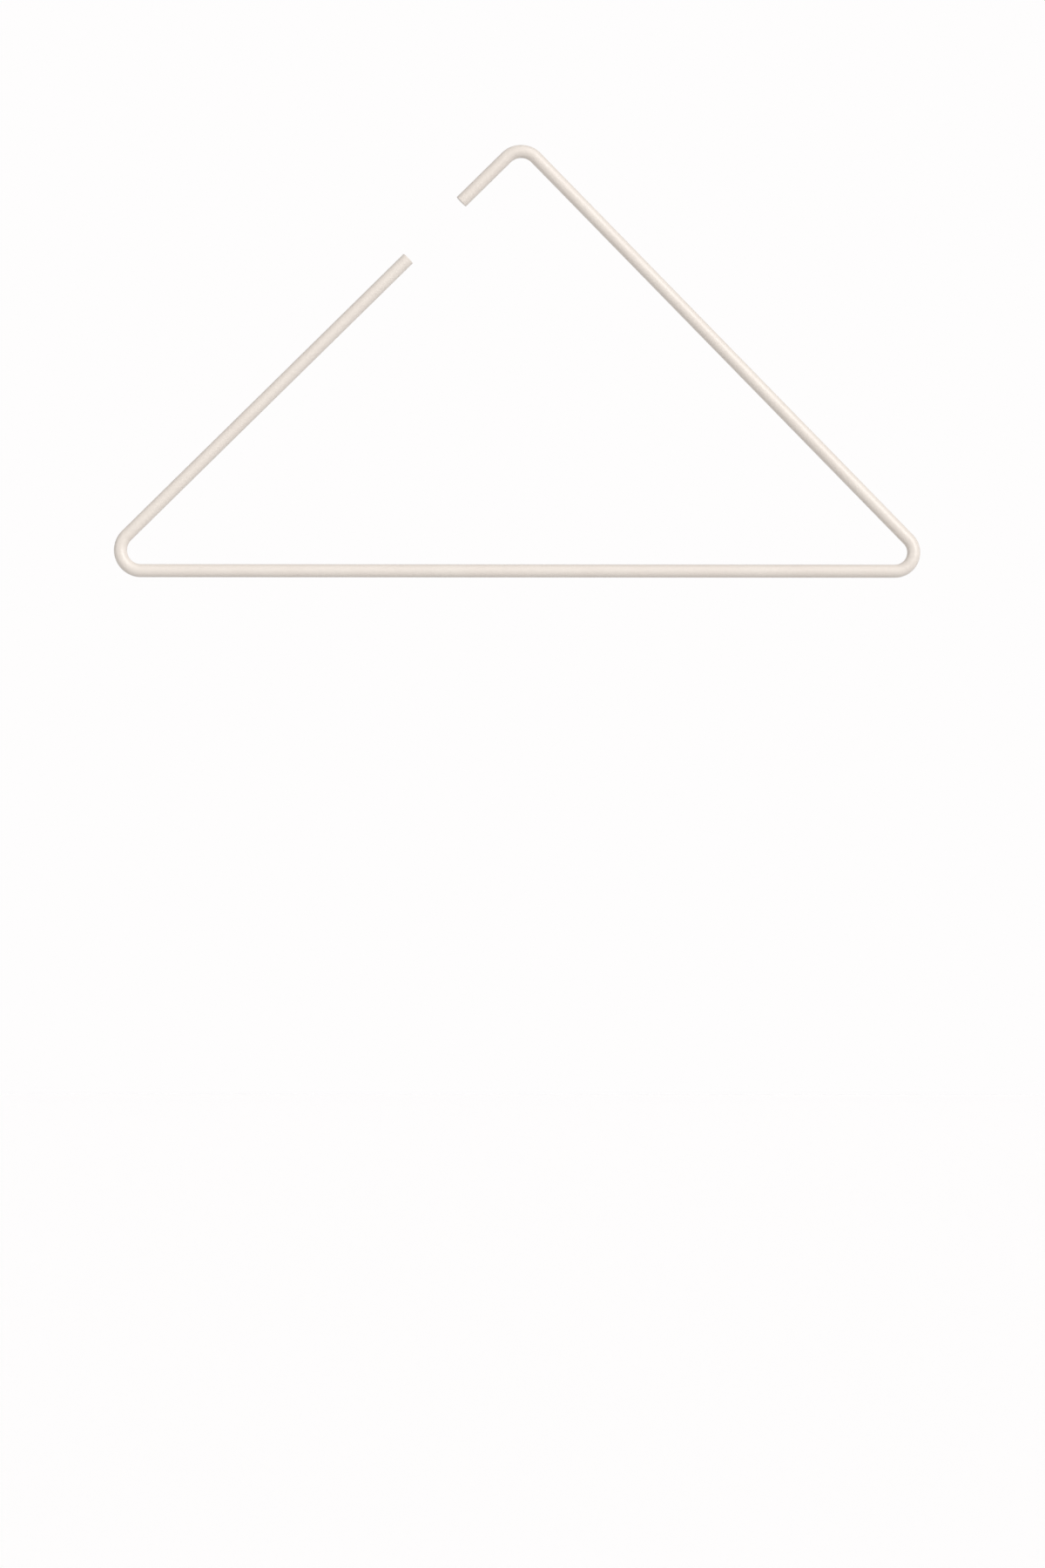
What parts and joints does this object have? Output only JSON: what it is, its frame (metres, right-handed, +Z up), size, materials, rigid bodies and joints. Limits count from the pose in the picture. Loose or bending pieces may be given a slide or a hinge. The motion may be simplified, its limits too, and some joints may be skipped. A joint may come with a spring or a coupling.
{
  "type": "clothes hanger",
  "caption": "Flat triangular clothes hanger bent from coated round steel rod, with a mouth beside its apex that slips over a rail and a straight bar for garments.",
  "frame": {"origin": "the highest point of the hollow under the apex bend, on the rod's surface, where the hanger rests on a peg", "axes": "+X along the garment bar, with the mouth on the -X side of the apex, +Y through the flat hanger from front to back, +Z up with the garment bar level"},
  "size_m": [0.4, 0.0066, 0.2145],
  "materials": {
    "powder_coated_steel": "satin"
  },
  "bodies": {
    "root": {"bent_rod": "powder_coated_steel"}
  },
  "joints": []
}
